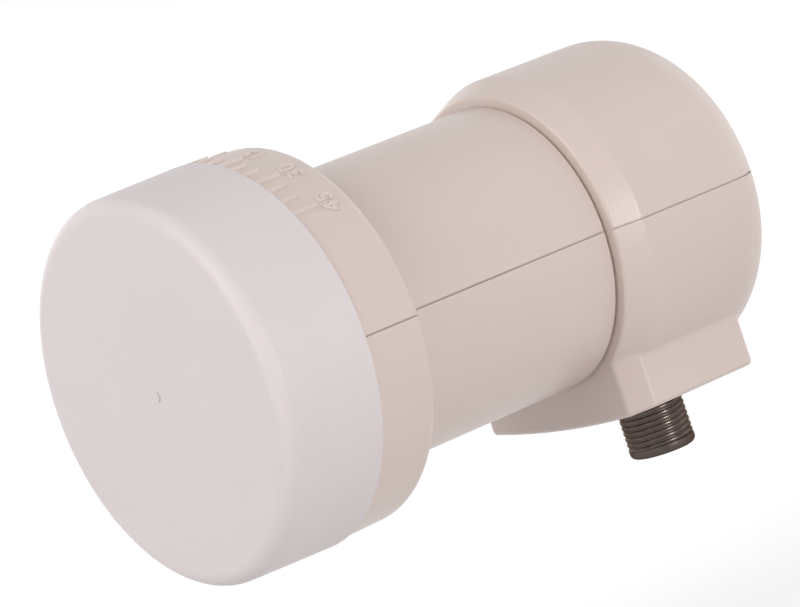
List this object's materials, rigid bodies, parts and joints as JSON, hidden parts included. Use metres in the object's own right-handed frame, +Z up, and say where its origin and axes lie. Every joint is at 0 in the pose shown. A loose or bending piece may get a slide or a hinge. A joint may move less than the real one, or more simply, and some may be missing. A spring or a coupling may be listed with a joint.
{
  "type": "satellite_lnb",
  "caption": "Single-output satellite dish low-noise block: white feed cap, beige split body with a 40 mm clamping neck, skew scale and threaded coaxial jack",
  "frame": {"origin": "on the feed axis, halfway along the 40 mm clamping neck", "axes": "+Y runs along the feed axis from the cap to the rear housing, +Z up, the jack points down"},
  "size_m": [0.0527, 0.0903, 0.0598],
  "materials": {
    "cap_plastic": "satin white moulded cap",
    "body_plastic": "satin beige moulded body",
    "seal_rubber": "black moulded rubber",
    "gasket_rubber": "filled grey rubber",
    "cast_metal": "plain die casting",
    "board_laminate": "low-loss laminate",
    "probe_brass": "plain brass",
    "screw_steel": "plated steel",
    "resonator_ceramic": "fired ceramic",
    "chip_plastic": "black moulded package",
    "jack_metal": "nickel plated brass",
    "insulator_plastic": "white insulator"
  },
  "bodies": {
    "root": {"feed_cap": "cap_plastic", "upper_shell": "body_plastic", "lower_shell": "body_plastic", "cap_seal": "seal_rubber", "feed_casting": "cast_metal", "circuit_board": "board_laminate", "horizontal_probe": "probe_brass", "vertical_probe": "probe_brass", "shield_cover": "cast_metal", "cover_gasket": "gasket_rubber", "absorber_pad": "gasket_rubber", "cover_screws": "screw_steel", "tuning_screws": "probe_brass", "low_band_resonator": "resonator_ceramic", "high_band_resonator": "resonator_ceramic", "amplifier_transistors": "resonator_ceramic", "mixer_chip": "chip_plastic", "if_amplifier": "chip_plastic", "voltage_regulator": "chip_plastic", "chip_capacitors": "resonator_ceramic", "connector_shell": "jack_metal", "connector_insulator": "insulator_plastic", "connector_contact": "probe_brass", "connector_seal": "seal_rubber"}
  },
  "joints": []
}
